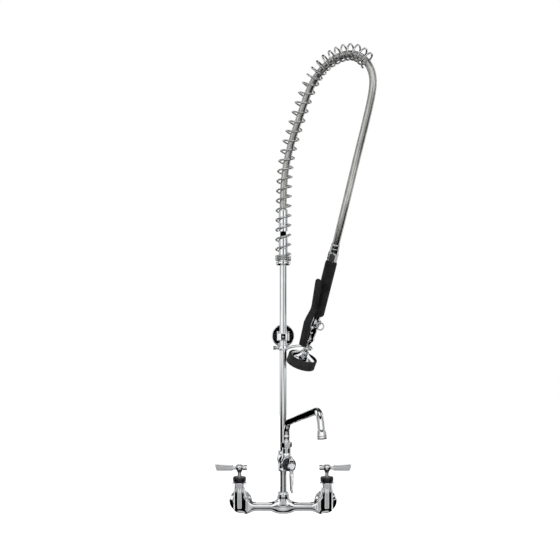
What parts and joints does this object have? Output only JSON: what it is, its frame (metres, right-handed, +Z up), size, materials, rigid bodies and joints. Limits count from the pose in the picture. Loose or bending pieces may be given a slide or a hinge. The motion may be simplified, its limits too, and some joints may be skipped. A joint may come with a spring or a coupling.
{
  "type": "wall-mounted pre-rinse faucet",
  "caption": "Wall-mounted kitchen pre-rinse faucet: two-handle mixing body, tall riser, add-on faucet with swing nozzle, overhead spring, hose and squeeze spray valve.",
  "frame": {"origin": "midway between the two water inlets, on the face of the wall", "axes": "+Z up, +Y into the wall, so the faucet stands out towards -Y, and +X to the right of a person facing it"},
  "size_m": [0.3568, 0.4027, 1.0687],
  "materials": {
    "chrome": "polished chrome plate",
    "brushed": "satin stainless steel",
    "rubber": "matt black rubber",
    "grip": "fluted black heat-resistant plastic",
    "lever": "black powder-coated steel",
    "brass": "machined brass",
    "ceramic": "white ceramic",
    "index": "plain index button",
    "plastic": "white engineering plastic"
  },
  "bodies": {
    "fixed_body": {"base_body": "chrome", "inlet_flanges": "chrome", "union_washers": "rubber", "coupling_tails": "brass", "union_nuts": "chrome", "hot_bonnet": "chrome", "cold_bonnet": "chrome", "addon_bonnet": "chrome", "bonnet_caps": "chrome", "valve_cartridges": "plastic", "valve_seat_discs": "ceramic", "riser_nipple": "chrome", "riser_pipe": "chrome", "addon_body": "chrome", "nozzle_nut": "chrome", "bracket_clamp": "chrome", "bracket_set_screw": "brushed", "bracket_rod": "chrome", "bracket_flange": "chrome", "holder_collar": "chrome", "holder_hook": "chrome", "spring_seat": "chrome", "hose_adapter": "chrome"},
    "hot_tap": {"hot_turning_disc": "ceramic", "hot_stem": "brass", "hot_handle_screw": "brushed", "hot_index_cap": "index", "hot_handle": "chrome"},
    "cold_tap": {"cold_turning_disc": "ceramic", "cold_stem": "brass", "cold_handle_screw": "brushed", "cold_index_cap": "index", "cold_handle": "chrome"},
    "addon_tap": {"addon_turning_disc": "ceramic", "addon_stem": "brass", "addon_handle_screw": "brushed", "addon_index_cap": "index", "addon_handle": "chrome"},
    "swing_spout": {"swing_nozzle": "chrome", "nozzle_o_rings": "rubber", "nozzle_tip": "chrome"},
    "holder_screw": {"holder_thumb_screw": "brushed"},
    "hose_arch": {"swivel_nut": "chrome", "hose_ferrule_riser": "chrome", "flex_hose": "brushed", "overhead_spring": "brushed", "hose_ferrule_valve": "chrome", "hose_nut": "chrome", "grip": "grip", "spray_valve_body": "chrome", "lever_pin": "brushed", "spray_cone": "chrome", "rubber_bumper": "rubber", "spray_face": "brushed", "face_screw": "brushed", "plunger_seal": "rubber", "plunger_spring": "brushed"},
    "valve_lever": {"squeeze_lever": "lever"},
    "valve_plunger": {"plunger": "brass"},
    "ring": {"hold_ring": "brushed"}
  },
  "joints": [
    {"name": "hot_handle_turn", "type": "hinge", "parent": "fixed_body", "child": "hot_tap", "pos_m": [-0.1016, -0.062, 0.08], "axis": [0, 0, 1], "range_deg": [0, 90]},
    {"name": "cold_handle_turn", "type": "hinge", "parent": "fixed_body", "child": "cold_tap", "pos_m": [0.1016, -0.062, 0.08], "axis": [0, 0, -1], "range_deg": [0, 90]},
    {"name": "addon_handle_turn", "type": "hinge", "parent": "fixed_body", "child": "addon_tap", "pos_m": [0.00984, -0.1151, 0.112], "axis": [0.1822, -0.9833, 0], "range_deg": [0, 90]},
    {"name": "nozzle_swing", "type": "hinge", "parent": "fixed_body", "child": "swing_spout", "pos_m": [0.00729, -0.10133, 0.15], "axis": [0, 0, 1], "range_deg": [-130, 110]},
    {"name": "holder_screw_turn", "type": "hinge", "parent": "fixed_body", "child": "holder_screw", "pos_m": [-0.0145, -0.062, 0.3694], "axis": [1, 0, 0], "range_deg": [0, 270]},
    {"name": "hose_swivel", "type": "hinge", "parent": "fixed_body", "child": "hose_arch", "pos_m": [0, -0.062, 0.63], "axis": [0, 0, 1], "range_deg": [-100, 0]},
    {"name": "lever_squeeze", "type": "hinge", "parent": "hose_arch", "child": "valve_lever", "pos_m": [0.047, -0.09751, 0.38308], "axis": [-0.6735, 0.6064, 0.4226], "range_deg": [0, 4.2], "stiffness_Nm_per_rad": 12},
    {"name": "plunger_push", "type": "slide", "parent": "hose_arch", "child": "valve_plunger", "axis": [0.6691, 0.7431, 0], "range_m": [0, 0.0025], "deforming": ["plunger_spring"]},
    {"name": "ring_swing", "type": "hinge", "parent": "hose_arch", "child": "ring", "pos_m": [0.08389, -0.10988, 0.42933], "axis": [0.9397, 0.342, 0], "range_deg": [-90, 0]}
  ],
  "couplings": [
    {"joint": "plunger_push", "follows": "lever_squeeze", "m_per_rad": 0.034}
  ]
}
